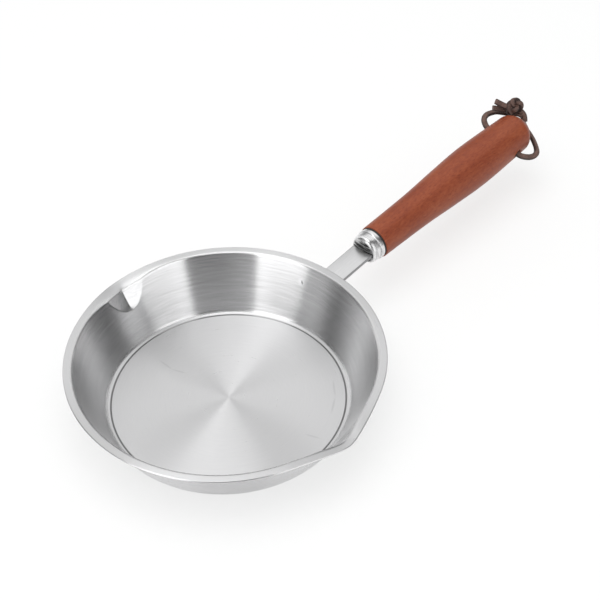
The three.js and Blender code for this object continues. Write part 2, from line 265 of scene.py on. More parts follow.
def make_camera():
    right, down, ahead = view_axes()
    camera = bpy.data.cameras.new("photo_camera")
    camera.lens = LENS
    camera.sensor_width = SENSOR_WIDTH
    camera.shift_x = SHIFT_X
    camera.shift_y = SHIFT_Y
    stand = bpy.data.objects.new("photo_camera", camera)
    stand.matrix_world = Matrix((right, -down, -ahead)).transposed().to_4x4()
    stand.location = -(right * PAN_RIGHT + down * PAN_BELOW + ahead * PAN_AHEAD)
    bpy.context.scene.collection.objects.link(stand)
    bpy.context.scene.camera = stand


# Shared shaping

def arc(centre, radius, start, end, steps):
    """Points of an arc in a plane, with angles in radians."""
    points = []
    for step in range(steps + 1):
        angle = start + (end - start) * step / steps
        points.append((centre[0] + radius * math.cos(angle), centre[1] + radius * math.sin(angle)))
    return points


def spline(points, steps):
    """Smooth curve through points, centripetal, with the same number of steps in each stretch."""
    places = [Vector(point) for point in points]
    places = [places[0] * 2 - places[1], *places, places[-1] * 2 - places[-2]]
    curve = [places[1]]
    for before, start, end, after in zip(places, places[1:], places[2:], places[3:]):
        come = math.sqrt((start - before).length)
        span = math.sqrt((end - start).length)
        leave = math.sqrt((after - end).length)
        out = ((start - before) / come - (end - before) / (come + span) + (end - start) / span) * span
        into = ((end - start) / span - (after - start) / (span + leave) + (after - end) / leave) * span
        curve += interpolate_bezier(start, start + out / 3, end - into / 3, end, steps + 1)[1:]
    return curve


def uniform_spline(points, steps):
    """Smooth curve through points of a plane, whose slopes follow their neighbours."""
    places = [Vector((*point, 0)) for point in points]
    places = [places[0], *places, places[-1]]
    curve = [places[1]]
    for before, start, end, after in zip(places, places[1:], places[2:], places[3:]):
        leave = start + (end - before) / 6
        arrive = end - (after - start) / 6
        curve += interpolate_bezier(start, leave, arrive, end, steps + 1)[1:]
    return curve


def share_between(value, low, high):
    """Zero up to the low value, one from the high value, and even between."""
    return min(max((value - low) / (high - low), 0), 1)


def wire(bm, points):
    """Chain of edges through points."""
    verts = [bm.verts.new(point) for point in points]
    edges = [bm.edges.new(pair) for pair in zip(verts, verts[1:])]
    return verts + edges


def turn(bm, points, axis, segments):
    """Turns a chain of points all the way round an axis through the origin."""
    chain = wire(bm, points)
    bmesh.ops.spin(
        bm, geom=chain, cent=(0, 0, 0), axis=axis, angle=FULL_TURN, steps=segments, use_merge=True
    )
    close(bm)


def turn_upright(profile, segments):
    """Turned shape about +Z, from points of radius and height."""
    bm = bmesh.new()
    turn(bm, [(radius, 0, height) for radius, height in profile], (0, 0, 1), segments)
    return bm


def turn_along_handle(profile):
    """Turned shape about the handle's axis, from points of station and radius."""
    bm = bmesh.new()
    turn(bm, [(station, 0, radius) for station, radius in profile], (1, 0, 0), TURNED_SEGMENTS)
    return bm


def close(bm):
    """Merges what meets and points all faces outwards."""
    bmesh.ops.remove_doubles(bm, verts=bm.verts, dist=MERGE_DISTANCE)
    bmesh.ops.dissolve_degenerate(bm, edges=bm.edges, dist=MERGE_DISTANCE)
    bmesh.ops.recalc_face_normals(bm, faces=bm.faces)


def loose_object(name, bm):
    """Object made from a bmesh, which is used up."""
    mesh = bpy.data.meshes.new(name)
    bm.to_mesh(mesh)
    bm.free()
    piece = bpy.data.objects.new(name, mesh)
    bpy.context.scene.collection.objects.link(piece)
    return piece


def combine(bm, tool, operation):
    """Cuts a bmesh with another, or joins the two."""
    body = loose_object("combine_body", bm)
    cutter = loose_object("combine_tool", tool)
    modifier = body.modifiers.new("combine", "BOOLEAN")
    modifier.operation = operation
    modifier.solver = "EXACT"
    modifier.object = cutter
    evaluated = body.evaluated_get(bpy.context.evaluated_depsgraph_get())
    result = bmesh.new()
    result.from_mesh(evaluated.to_mesh())
    evaluated.to_mesh_clear()
    for spare in (body, cutter):
        mesh = spare.data
        bpy.data.objects.remove(spare)
        bpy.data.meshes.remove(mesh)
    close(result)
    return result


def finish_piece(name, bm, body, material, node):
    """Smooth-shaded piece that rides on a body and stands for a CAD node."""
    piece = loose_object(name, bm)
    piece.data.shade_smooth()
    piece.data.set_sharp_from_angle(angle=SHARP_ANGLE)
    piece.data.materials.append(material)
    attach(piece, body)
    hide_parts(node)
    return piece


def finish_on_handle(name, bm, material, node):
    """Piece of the pan that was shaped in the handle's frame."""
    bmesh.ops.transform(bm, matrix=handle_frame, verts=bm.verts)
    finish_piece(name, bm, "pan", material, node)


# Lace

def frame_at(point, along, facing):
    """Frame at a point of the lace: X across it, Y out of its flat face and Z along it."""
    across = facing.cross(along)
    return Matrix.Translation(point) @ Matrix((across, facing, along)).transposed().to_4x4()


def frames_along(points, facing):
    """Frames on a curve, which turn no more than the curve does."""
    frames = []
    before = None
    for last, point, coming in zip([points[0], *points], points, [*points[1:], points[-1]]):
        along = (coming - last).normalized()
        if before is not None:
            facing = before.rotation_difference(along) @ facing
        facing = (facing - along * facing.dot(along)).normalized()
        frames.append(frame_at(point, along, facing))
        before = along
    return frames


def sweep_lace(bm, frames, width, thickness):
    """Flat, rounded section of lace, drawn through frames and closed at both ends."""
    across = bm.verts.layers.float.get("across") or bm.verts.layers.float.new("across")
    ring = bmesh.ops.create_circle(bm, segments=LACE_SIDES, radius=1)["verts"]
    for vert in ring:
        vert[across] = math.copysign(abs(vert.co.x) ** LACE_SQUARENESS, vert.co.x)
        lift = math.copysign(abs(vert.co.y) ** LACE_SQUARENESS, vert.co.y)
        vert.co = (vert[across] * width / 2, lift * thickness / 2, 0)
    edges = list(dict.fromkeys(edge for vert in ring for edge in vert.link_edges))
    bmesh.ops.transform(bm, matrix=frames[0], verts=ring)
    bmesh.ops.edgeloop_fill(bm, edges=edges)
    for before, after in zip(frames, frames[1:]):
        grown = bmesh.ops.extrude_edge_only(bm, edges=edges)["geom"]
        ring = [part for part in grown if isinstance(part, bmesh.types.BMVert)]
        fresh = set(ring)
        edges = [part for part in grown if isinstance(part, bmesh.types.BMEdge)]
        edges = [edge for edge in edges if fresh.issuperset(edge.verts)]
        bmesh.ops.transform(bm, matrix=after @ before.inverted(), verts=ring)
    bmesh.ops.edgeloop_fill(bm, edges=edges)


def lay_lace(bm, route, facing):
    """Sweeps the lace along a smooth curve through a route, and returns the curve."""
    curve = spline(route, LACE_STEPS)
    sweep_lace(bm, frames_along(curve, facing), LACE_WIDTH, LACE_THICKNESS)
    return curve


def finish_lace(name, bm, leather, node):
    """Piece of the lace that was shaped in its hole's frame."""
    close(bm)
    bmesh.ops.transform(bm, matrix=hole_frame, verts=bm.verts)
    return finish_piece(name, bm, "cord_loop", leather, node)


def towards_camera():
    """Direction to the camera in the lace hole's frame."""
    return hole_frame.to_3x3().inverted() @ -view_axes()[2]


def knot_frames():
    """Frames round a tight overhand knot, in its own frame."""
    frames = []
    up = Vector((0, 0, KNOT_DEPTH))
    for step in range(KNOT_STEPS + 1):
        share = FULL_TURN * step / KNOT_STEPS
        round_ring, round_lace = KNOT_ROUNDS * share, KNOT_WINDS * share
        outwards = Vector((math.cos(round_ring), math.sin(round_ring), 0))
        sideways = Vector((-math.sin(round_ring), math.cos(round_ring), 0))
        reach = KNOT_RING + math.cos(round_lace)
        point = (outwards * reach + up * math.sin(round_lace)) * KNOT_TURN
        along = sideways * KNOT_ROUNDS * reach
        along += (up * math.cos(round_lace) - outwards * math.sin(round_lace)) * KNOT_WINDS
        along.normalize()
        facing = outwards * math.cos(round_lace) * KNOT_DEPTH + Vector((0, 0, math.sin(round_lace)))
        facing = (facing - along * facing.dot(along)).normalized()
        frames.append(frame_at(point, along, facing))
    return frames


def make_knot(leather):
    """Knot that shows its bulges of lace to the camera, with the strands that run into it."""
    right, down, ahead = view_axes()
    turned = hole_frame.to_3x3().inverted()
    plane = Matrix((turned @ -down, turned @ -right, turned @ -ahead)).transposed().to_4x4()
    place = Matrix.Translation(KNOT_CENTRE) @ plane
    bm = bmesh.new()
    frames = [place @ section for section in knot_frames()]
    sweep_lace(bm, frames, KNOT_LACE_WIDTH, KNOT_LACE_THICKNESS)
    for strand in KNOT_STRANDS:
        lay_lace(bm, strand, towards_camera())
    return finish_lace("lace_knot", bm, leather, "cord_knot")


def make_lace(leather):
    """Loop through the hole in the grip, with its knot and two tails."""
    for name, route in (("long", LONG_TAIL_ROUTE), ("short", SHORT_TAIL_ROUTE)):
        bm = bmesh.new()
        lay_lace(bm, route, towards_camera())
        finish_lace(f"lace_tail_{name}", bm, leather, f"cord_tail_{name}")
    knot = make_knot(leather)
    bm = bmesh.new()
    curve = lay_lace(bm, LACE_ROUTE, LACE_FACING)
    loop = finish_lace("hanging_lace", bm, leather, "hanging_cord")


# Bowl

def bowl_angles():
    """Centres of the floor's fillet and of the rim's bend, and the wall's slope between them."""
    fillet = (FLOOR_RADIUS, SHEET_THICKNESS + CORNER_FILLET)
    bend = (RIM_RADIUS - RIM_FLAT, PAN_HEIGHT - RIM_BEND)
    run, rise = bend[0] - fillet[0], bend[1] - fillet[1]
    slope = math.atan2(rise, run) + math.asin((CORNER_FILLET + RIM_BEND) / math.hypot(run, rise))
    return fillet, bend, slope


def bowl_face(depth):
    """Section of the bowl at a depth below its inner face, from the fillet to the flange."""
    fillet, bend, slope = bowl_angles()
    tilt = slope - QUARTER_TURN
    foot = arc(fillet, CORNER_FILLET + depth, -QUARTER_TURN, tilt, BEND_STEPS)
    top = arc(bend, RIM_BEND - depth, math.pi + tilt, QUARTER_TURN, BEND_STEPS)
    wall = []
    for step in range(1, WALL_STEPS):
        share = step / WALL_STEPS
        wall.append(tuple(low + (high - low) * share for low, high in zip(foot[-1], top[0])))
    return [*foot, *wall, *top]


def outside_radius(height, gap):
    """Radius of the wall's outside face, moved outwards by a gap, at a height."""
    fillet, _, slope = bowl_angles()
    foot = (fillet[0] + CORNER_FILLET * math.sin(slope), fillet[1] - CORNER_FILLET * math.cos(slope))
    return foot[0] + (height - foot[1]) / math.tan(slope) + (SHEET_THICKNESS + gap) / math.sin(slope)


def press_lips(bm):
    """Presses the lips: a broad V in the flange, which narrows there, and a crisp crease in the wall."""
    _, bend, slope = bowl_angles()
    bend_start = bend[0] - RIM_BEND * math.sin(slope)
    flange_end = RIM_RADIUS - SHEET_THICKNESS / 2
    full_depth = 1 / math.cos(LIP_HALF_ANGLE) - 1
    for vert in bm.verts:
        radius = math.hypot(vert.co.x, vert.co.y)
        height = vert.co.z
        heading = math.atan2(vert.co.y, vert.co.x)
        heading += LIP_CROWDING * math.sin(2 * heading)
        lip = LEFT_LIP if heading > 0 else RIGHT_LIP
        from_lip = abs(abs(heading) - QUARTER_TURN)
        rounded = math.hypot(from_lip, LIP_ROUNDING) - LIP_ROUNDING
        depth = (1 / math.cos(max(0, LIP_HALF_ANGLE - rounded)) - 1) / full_depth
        rise = share_between(height, LIP_FOOT, bend[1])
        climb = share_between(height, CREASE_FOOT, CREASE_TOP)
        crease = CREASE_SLOPE * max(0, CREASE_HALF_ANGLE * climb ** CREASE_FLARE - from_lip) * radius
        on_wall = crease * (1 - lip.ease * rise) + lip.bulge * depth * rise
        narrowing = lip.narrowing * share_between(radius, flange_end, bend[0])
        on_flange = (LIP_REACH + narrowing) * depth
        reach = radius + on_wall + (on_flange - on_wall) * share_between(radius, bend_start, bend[0])
        vert.co = (reach * math.cos(heading), reach * math.sin(heading), height - LIP_DROP * depth * rise)


def make_bowl(steel):
    edge_radius = SHEET_THICKNESS / 2
    edge_middle = (RIM_RADIUS - edge_radius, PAN_HEIGHT - edge_radius)
    line = FLOOR_RADIUS - FLOOR_LINE_WIDTH
    profile = [
        (0, 0),
        *bowl_face(SHEET_THICKNESS),
        *arc(edge_middle, edge_radius, -QUARTER_TURN, QUARTER_TURN, BEND_STEPS),
        (RIM_RADIUS - edge_radius - FLANGE_MARGIN, PAN_HEIGHT),
        (RIM_RADIUS - RIM_FLAT + FLANGE_MARGIN, PAN_HEIGHT),
        *reversed(bowl_face(0)),
        (line + FLOOR_LINE_WIDTH / 2, SHEET_THICKNESS - FLOOR_LINE_DEPTH),
        (line, SHEET_THICKNESS),
        (line - FLOOR_LINE_WIDTH, SHEET_THICKNESS),
        (0, SHEET_THICKNESS),
    ]
    bm = turn_upright(profile, BOWL_SEGMENTS)
    press_lips(bm)
    finish_piece("bowl", bm, "pan", steel, "pan_body")


# Strap

def strap_middle(station):
    """Height of the strap's middle, in the handle's frame."""
    at_rim = AXIS_BELOW_RIM - SHEET_THICKNESS - WELD_GAP - STRAP_THICKNESS / 2
    return at_rim * (1 - min(station / SHOULDER_START, 1))


def strap_start():
    """Station where the strap's middle meets the middle of the weld pad."""
    height = PAN_HEIGHT - SHEET_THICKNESS - WELD_GAP - STRAP_THICKNESS / 2
    return outside_radius(height, WELD_GAP + STRAP_THICKNESS / 2) - RIM_RADIUS


def strap_bar(clearance):
    """Strap that narrows to a tang, in the handle's frame, grown all round by a clearance."""
    bm = bmesh.new()
    sections = [
        (strap_start(), STRAP_WIDTH),
        (SHOULDER_START + clearance, STRAP_WIDTH),
        (TANG_START + clearance, TANG_WIDTH),
        (TANG_END + clearance, TANG_WIDTH),
    ]
    half = STRAP_THICKNESS / 2 + clearance
    edges = []
    for station, width in sections:
        side = width / 2 + clearance
        middle = strap_middle(station)
        corners = [(-side, -half), (side, -half), (side, half), (-side, half)]
        verts = [bm.verts.new((station, y, middle + z)) for y, z in corners]
        loop = [bm.edges.new(pair) for pair in zip(verts, verts[1:] + verts[:1])]
        if edges:
            bmesh.ops.bridge_loops(bm, edges=edges + loop)
        else:
            bmesh.ops.edgeloop_fill(bm, edges=loop)
        edges = loop
    bmesh.ops.edgeloop_fill(bm, edges=edges)
    close(bm)
    return bm


def round_long_edges(bar):
    """Rounds the edges that run along the strap."""
    spans = [(edge, edge.verts[1].co - edge.verts[0].co) for edge in bar.edges]
    long_edges = [edge for edge, span in spans if abs(span.x) > MERGE_DISTANCE]
    bmesh.ops.bevel(
        bar, geom=long_edges, offset=STRAP_EDGE, offset_type="OFFSET", segments=STRAP_EDGE_STEPS,
        profile=0.5, affect="EDGES", material=-1,
    )


def weld_pad():
    """Rounded plate that hugs the wall under the rim."""
    bm = bmesh.new()
    start = strap_start()
    top = (handle_frame @ Vector((start, 0, strap_middle(start)))).z
    bmesh.ops.create_grid(bm, x_segments=1, y_segments=1, size=0.5)
    bmesh.ops.scale(bm, vec=(WELD_PAD_WIDTH, WELD_PAD_HEIGHT, 1), verts=bm.verts)
    bmesh.ops.bevel(
        bm, geom=bm.verts[:], offset=WELD_PAD_CORNER, offset_type="OFFSET", segments=EDGE_STEPS,
        profile=0.5, affect="VERTICES", material=-1,
    )
    for strip in range(1, WELD_PAD_STRIPS):
        place = ((strip / WELD_PAD_STRIPS - 0.5) * WELD_PAD_WIDTH, 0, 0)
        geom = bm.verts[:] + bm.edges[:] + bm.faces[:]
        bmesh.ops.bisect_plane(bm, geom=geom, dist=MERGE_DISTANCE, plane_co=place, plane_no=(1, 0, 0))
    bmesh.ops.recalc_face_normals(bm, faces=bm.faces)
    bmesh.ops.solidify(bm, geom=bm.faces[:], thickness=STRAP_THICKNESS)
    low = min(vert.co.z for vert in bm.verts)
    for vert in bm.verts:
        across, up, out = vert.co
        height = top - WELD_PAD_HEIGHT / 2 + up
        radius = outside_radius(height, WELD_GAP + out - low)
        vert.co = (math.sqrt(radius ** 2 - across ** 2), across, height)
    close(bm)
    return bm


def make_strap(steel):
    bar = strap_bar(clearance=0)
    round_long_edges(bar)
    bmesh.ops.transform(bar, matrix=handle_frame, verts=bar.verts)
    bm = combine(bar, weld_pad(), "UNION")
    finish_piece("strap", bm, "pan", steel, "handle_strap")


# Ferrule, ring and grip

def dome(inset):
    """Half section of the ferrule's dome, from its tip to its full radius."""
    back = FERRULE_FRONT + DOME_LENGTH
    points = [(back - (DOME_LENGTH - inset), 0)]
    for step in range(1, DOME_STEPS + 1):
        angle = QUARTER_TURN * (1 - step / DOME_STEPS)
        ahead = max(math.sin(angle), 0) ** (2 / DOME_FULLNESS)
        out = max(math.cos(angle), 0) ** (2 / DOME_FULLNESS)
        points.append((back - (DOME_LENGTH - inset) * ahead, (DOME_RADIUS - inset) * out))
    return points


def make_ferrule(steel):
    bore = COLLAR_RADIUS - COLLAR_EDGE - FERRULE_WALL
    front_edge = (COLLAR_FRONT + COLLAR_EDGE, COLLAR_RADIUS - COLLAR_EDGE)
    back_edge = (FERRULE_BACK - COLLAR_EDGE, COLLAR_RADIUS - COLLAR_EDGE)
    profile = [
        *dome(0),
        (COLLAR_FRONT, DOME_RADIUS),
        *arc(front_edge, COLLAR_EDGE, math.pi, QUARTER_TURN, EDGE_STEPS),
        *arc(back_edge, COLLAR_EDGE, QUARTER_TURN, 0, EDGE_STEPS),
        (FERRULE_BACK, bore),
        *reversed(dome(FERRULE_WALL)),
    ]
    bm = combine(turn_along_handle(profile), strap_bar(SLOT_CLEARANCE), "DIFFERENCE")
    finish_on_handle("ferrule_cap", bm, steel, "ferrule")


# The dark ring behind the ferrule is painted shade, standing in for the line of shade between the ferrule
# and the wood
def make_shadow_ring(shadow_ring_material):
    bore = SPIGOT_RADIUS + SLOT_CLEARANCE
    profile = [
        (FERRULE_BACK, bore),
        (FERRULE_BACK, COLLAR_RADIUS - COLLAR_EDGE / 2),
        (FERRULE_BACK + COLLAR_EDGE / 2, COLLAR_RADIUS),
        (RING_BACK, COLLAR_RADIUS),
        (RING_BACK, bore),
        (FERRULE_BACK, bore),
    ]
    finish_on_handle("ferrule_shadow_ring", turn_along_handle(profile), shadow_ring_material, "ferrule_seal")


def grip_outside():
    """Outside of the grip from its front shoulder to the tip of the butt."""
    corner = (GRIP_FRONT + GRIP_EDGE, GRIP_NECK[1] - GRIP_EDGE)
    points = arc(corner, GRIP_EDGE, math.pi, QUARTER_TURN, EDGE_STEPS)
    swell = uniform_spline([GRIP_NECK, GRIP_WAIST, GRIP_SWELL, GRIP_BELLY, GRIP_BUTT], SWELL_STEPS)
    points += [(point.x, point.y) for point in swell]
    for step in range(1, BUTT_STEPS):
        along = math.sin(QUARTER_TURN * step / BUTT_STEPS)
        radius = GRIP_BUTT[1] * (1 - along ** BUTT_FULLNESS) ** (1 / BUTT_FULLNESS)
        points.append((GRIP_BUTT[0] + (HANDLE_LENGTH - GRIP_BUTT[0]) * along, radius))
    return [*points, (HANDLE_LENGTH, 0)]


def lace_drill():
    """Drill for the lace's hole across the grip, flared at both mouths."""
    half = GRIP_BELLY[1]
    mouth = LACE_HOLE_RADIUS + 2 * LACE_HOLE_FLARE
    flare = [(LACE_HOLE_RADIUS, half - 2 * LACE_HOLE_FLARE), (mouth, half), (mouth, 2 * half), (0, 2 * half)]
    lower = [(radius, -height) for radius, height in reversed(flare)]
    drill = turn_upright([*lower, *flare], LACE_HOLE_SEGMENTS)
    across = Matrix.Rotation(QUARTER_TURN + LACE_HOLE_TILT, 3, "X")
    bmesh.ops.rotate(drill, cent=(0, 0, 0), matrix=across, verts=drill.verts)
    bmesh.ops.translate(drill, vec=(LACE_HOLE_STATION, 0, 0), verts=drill.verts)
    return drill


def make_grip(wood):
    profile = [
        (BORE_END, 0),
        (BORE_END, BORE_RADIUS),
        (SPIGOT_FRONT, BORE_RADIUS),
        (SPIGOT_FRONT, SPIGOT_RADIUS),
        (GRIP_FRONT, SPIGOT_RADIUS),
        *grip_outside(),
    ]
    bm = combine(turn_along_handle(profile), lace_drill(), "DIFFERENCE")
    finish_on_handle("turned_grip", bm, wood, "wood_grip")


# Materials

class Recipe:
    """Material under construction, with short calls that add and join its nodes."""

    def __init__(self, name):
        self.material = bpy.data.materials.new(name)
        self.material.use_nodes = True
        self.tree = self.material.node_tree
        self.shader = self.tree.nodes["Principled BSDF"]

    def set(self, **values):
        """Sets constant values on the shader's own sockets."""
        for name, value in values.items():
            self.shader.inputs[name.replace("_", " ")].default_value = value

    def feed(self, socket, source):
        """Joins a node's output to one of the shader's sockets."""
        self.tree.links.new(source, self.shader.inputs[socket])

    def node(self, kind, inputs=None, **settings):
        """Adds a node, whose inputs are constant values or outputs of other nodes."""
        node = self.tree.nodes.new(kind)
        for name, value in settings.items():
            setattr(node, name, value)
        for name, value in (inputs or {}).items():
            if isinstance(value, bpy.types.NodeSocket):
                self.tree.links.new(value, node.inputs[name])
            else:
                node.inputs[name].default_value = value
        return node

    def object_coords(self):
        return self.node("ShaderNodeTexCoord").outputs["Object"]

    def split(self, vector):
        """The three parts of a vector."""
        return self.node("ShaderNodeSeparateXYZ", {0: vector}).outputs

    def join(self, x=0.0, y=0.0, z=0.0):
        """Vector from its parts."""
        return self.node("ShaderNodeCombineXYZ", {0: x, 1: y, 2: z}).outputs[0]

    def math(self, operation, first, second=0.0):
        return self.node("ShaderNodeMath", {0: first, 1: second}, operation=operation).outputs[0]

    def vector_math(self, operation, first, second):
        return self.node("ShaderNodeVectorMath", {0: first, 1: second}, operation=operation).outputs

    def vector(self, operation, first, second=(0, 0, 0)):
        """Vector worked out from one vector or two."""
        return self.vector_math(operation, first, second)["Vector"]

    def measure(self, operation, first, second=(0, 0, 0)):
        """Number worked out from one vector or two."""
        return self.vector_math(operation, first, second)["Value"]

    def weigh(self, *parts):
        """Sum of values, each times its weight."""
        total, *others = [self.math("MULTIPLY", value, weight) for value, weight in parts]
        for other in others:
            total = self.math("ADD", total, other)
        return total

    def stretch(self, vector, scale, rotation=(0, 0, 0)):
        """Turns coordinates and scales them: a small scale draws a pattern out that way."""
        settings = {"Vector": vector, "Rotation": rotation, "Scale": scale}
        return self.node("ShaderNodeMapping", settings).outputs["Vector"]

    def noise(self, vector, scale, detail=2.0, **inputs):
        settings = {"Vector": vector, "Scale": scale, "Detail": detail, **inputs}
        dimensions = "4D" if "W" in inputs else "3D"
        return self.node("ShaderNodeTexNoise", settings, noise_dimensions=dimensions).outputs["Fac"]

    def spread(self, value, low, high, start=0.0, end=1.0):
        """Goes from low to high while a value goes from start to end."""
        settings = {"Value": value, "From Min": start, "From Max": end, "To Min": low, "To Max": high}
        return self.node("ShaderNodeMapRange", settings).outputs["Result"]

    def ramp(self, value, stops):
        """Colours at places between zero and one, blended between them."""
        node = self.node("ShaderNodeValToRGB", {"Fac": value})
        elements = node.color_ramp.elements
        while len(elements) < len(stops):
            elements.new(0.5)
        for element, (place, colour) in zip(elements, stops):
            element.position = place
            element.color = (*colour, 1)
        return node.outputs["Color"]

    def mix(self, factor, first, second, blend="MIX"):
        inputs = {0: factor, 6: first, 7: second}
        return self.node("ShaderNodeMix", inputs, data_type="RGBA", blend_type=blend).outputs[2]

    def spot(self, place, centre, along, across):
        """One in the middle of a mark with these half axes, and zero past its edge."""
        offset = self.vector("SUBTRACT", place, centre)
        units = [axis / axis.length_squared for axis in (along, across)]
        shares = [self.measure("DOT_PRODUCT", offset, unit) for unit in units]
        away = self.measure("LENGTH", self.join(*shares))
        return self.spread(away, 1.0, 0.0, start=0.5, end=1.0)

    def bump(self, height, strength, distance):
        settings = {"Height": height, "Strength": strength, "Distance": distance}
        self.feed("Normal", self.node("ShaderNodeBump", settings).outputs["Normal"])


# Finishes: most values of a noise lie in its span, and a fade is where one finish gives way to another, and
# where painted shade and a painted reflection set in
NOISE_SPAN = (0.3, 0.7)
STEEL_COOLNESS = 0.005
BRUSH_CIRCLE = 0.0016
WALL_FADE = 0.0008
PAD_FADE = 0.001
PAINTED_REFLECTION_FADE = (0.0003, 0.0008)

# Marks on the steel: the weld's on the wall, and scratches on the floor, from end to end
WELD_HEADING = math.radians(11.7)
WELD_HEIGHT = 0.0169
WELD_SPOT_RADIUS = 0.0017
WELD_SPOT_SHADE = 1.12
WELD_NICK_OFFSET = 0.0006
WELD_NICK_HALF_LENGTH = 0.0009
WELD_NICK_HALF_WIDTH = 0.00035
WELD_NICK_LEAN = 0.5
WELD_NICK_SHADE = 0.35
SCRATCH_HALF_WIDTH = 0.0005
SCRATCH_SHADE = 0.9
SCRATCHES = [
    ((-0.0041, 0.0337), (-0.0042, 0.0259)),
    ((-0.0044, 0.0268), (-0.0019, 0.0205)),
    ((0.0329, -0.0230), (0.0263, -0.0302)),
    ((0.0271, -0.0295), (0.0189, -0.0346)),
    ((0.0055, -0.0334), (0.0081, -0.0400)),
]


def grey(level):
    return (level, level, level)


def steel_tone(level):
    """Grey of bare steel, a touch cool."""
    return (level, level, level + STEEL_COOLNESS)


def steel_marks():
    """Centre, half axes and shade of each mark."""
    slope = bowl_angles()[2]
    radius = outside_radius(WELD_HEIGHT, -SHEET_THICKNESS)
    outwards = Vector((math.cos(WELD_HEADING), math.sin(WELD_HEADING), 0))
    around = Vector((-math.sin(WELD_HEADING), math.cos(WELD_HEADING), 0))
    up = outwards * math.cos(slope) + Vector((0, 0, math.sin(slope)))
    weld = outwards * radius + Vector((0, 0, WELD_HEIGHT))
    nick_along = (up + around * WELD_NICK_LEAN) * WELD_NICK_HALF_LENGTH
    nick_across = (around - up * WELD_NICK_LEAN) * WELD_NICK_HALF_WIDTH
    marks = [
        (weld, around * WELD_SPOT_RADIUS, up * WELD_SPOT_RADIUS, WELD_SPOT_SHADE),
        (weld - around * WELD_NICK_OFFSET, nick_along, nick_across, WELD_NICK_SHADE),
    ]
    for ends in SCRATCHES:
        start, end = (Vector((*point, SHEET_THICKNESS)) for point in ends)
        along = (end - start) / 2
        across = along.cross(Vector((0, 0, 1))).normalized() * SCRATCH_HALF_WIDTH
        marks.append(((start + end) / 2, along, across, SCRATCH_SHADE))
    return marks


def brush_lines(recipe, flat, height, radius):
    """Lines round the pan, which change fast with radius and height, and slowly on their way round."""
    heading = recipe.vector("NORMALIZE", flat)
    small_circle = recipe.vector("MULTIPLY", heading, (BRUSH_CIRCLE, BRUSH_CIRCLE, 0))
    streak = recipe.vector("ADD", small_circle, recipe.join(z=height))
    fine = recipe.noise(streak, scale=2600, W=radius)
    broad = recipe.noise(streak, scale=1000, W=radius)
    return recipe.weigh((fine, 0.7), (broad, 0.3))


def wall_share(recipe, radius):
    """One on the wall, and zero on the floor and the flange."""
    past_fillet = recipe.spread(radius, 0.0, 1.0, FLOOR_RADIUS, FLOOR_RADIUS + CORNER_FILLET)
    flange = RIM_RADIUS - RIM_FLAT
    before_flange = recipe.spread(radius, 1.0, 0.0, flange - WALL_FADE, flange)
    return recipe.math("MULTIPLY", past_fillet, before_flange)


def painted_floor_line_shade(recipe, radius):
    """Painted shade in the line that is pressed round the floor: grey there, and white elsewhere."""
    offset = recipe.math("SUBTRACT", radius, FLOOR_RADIUS - FLOOR_LINE_WIDTH / 2)
    share = recipe.spread(recipe.math("ABSOLUTE", offset), 0.0, 1.0, 0.0, FLOOR_LINE_WIDTH)
    return recipe.ramp(share, [(0.4, grey(0.55)), (0.8, grey(1))])


def brushed_pan_steel():
    """Steel with brush lines round the pan: even on the floor, streaky on the wall."""
    recipe = Recipe("brushed_pan_steel")
    recipe.set(Metallic=1, Anisotropic=1.0, Anisotropic_Rotation=0.25)
    place = recipe.object_coords()
    recipe.feed("Tangent", recipe.vector("CROSS_PRODUCT", (0, 0, 1), place))
    x, y, height = recipe.split(place)
    flat = recipe.join(x, y)
    radius = recipe.measure("LENGTH", flat)
    lines = brush_lines(recipe, flat, height, radius)
    on_wall = wall_share(recipe, radius)
    floor_gloss = recipe.spread(lines, 0.27, 0.33, *NOISE_SPAN)
    wall_gloss = recipe.spread(lines, 0.22, 0.27, *NOISE_SPAN)
    change = recipe.math("MULTIPLY", on_wall, recipe.math("SUBTRACT", wall_gloss, floor_gloss))
    recipe.feed("Roughness", recipe.math("ADD", floor_gloss, change))
    floor_colour = recipe.ramp(lines, [(0.3, steel_tone(0.63)), (0.7, steel_tone(0.66))])
    wall_colour = recipe.ramp(lines, [(0.36, steel_tone(0.605)), (0.64, steel_tone(0.71))])
    colour = recipe.mix(on_wall, floor_colour, wall_colour)
    # Painted shade darkens the line pressed round the floor
    colour = recipe.mix(1.0, colour, painted_floor_line_shade(recipe, radius), "MULTIPLY")
    for centre, along, across, shade in steel_marks():
        shaded = recipe.mix(1.0, colour, (*grey(shade), 1), "MULTIPLY")
        colour = recipe.mix(recipe.spot(place, centre, along, across), colour, shaded)
    recipe.feed("Base Color", colour)
    recipe.bump(lines, strength=0.06, distance=0.0001)
    return recipe.material


def satin_strap_steel():
    """Steel with fine lines along the strap, and painted shade along its edges."""
    recipe = Recipe("satin_strap_steel")
    recipe.set(Metallic=1, Anisotropic=0.5, Anisotropic_Rotation=0.25)
    place = recipe.object_coords()
    recipe.feed("Tangent", recipe.join(x=1.0))
    lines = recipe.noise(recipe.stretch(place, (0.03, 1, 1)), scale=2600, detail=3)
    recipe.feed("Roughness", recipe.spread(lines, 0.3, 0.42, *NOISE_SPAN))
    colour = recipe.ramp(lines, [(0.3, steel_tone(0.65)), (0.7, steel_tone(0.72))])
    # Painted shade: past the weld pad the strap's edges are darkened, standing in for the shade on their
    # rounding
    x, y, _ = recipe.split(place)
    half_width = STRAP_WIDTH / 2
    at_side = recipe.spread(recipe.math("ABSOLUTE", y), 0.0, 1.0, half_width - STRAP_EDGE, half_width)
    past_pad = recipe.spread(x, 0.0, 1.0, RIM_RADIUS, RIM_RADIUS + PAD_FADE)
    painted_edge_shade = recipe.math("MULTIPLY", at_side, past_pad)
    recipe.feed("Base Color", recipe.mix(painted_edge_shade, colour, (*steel_tone(0.3), 1)))
    recipe.bump(lines, strength=0.05, distance=0.0001)
    return recipe.material


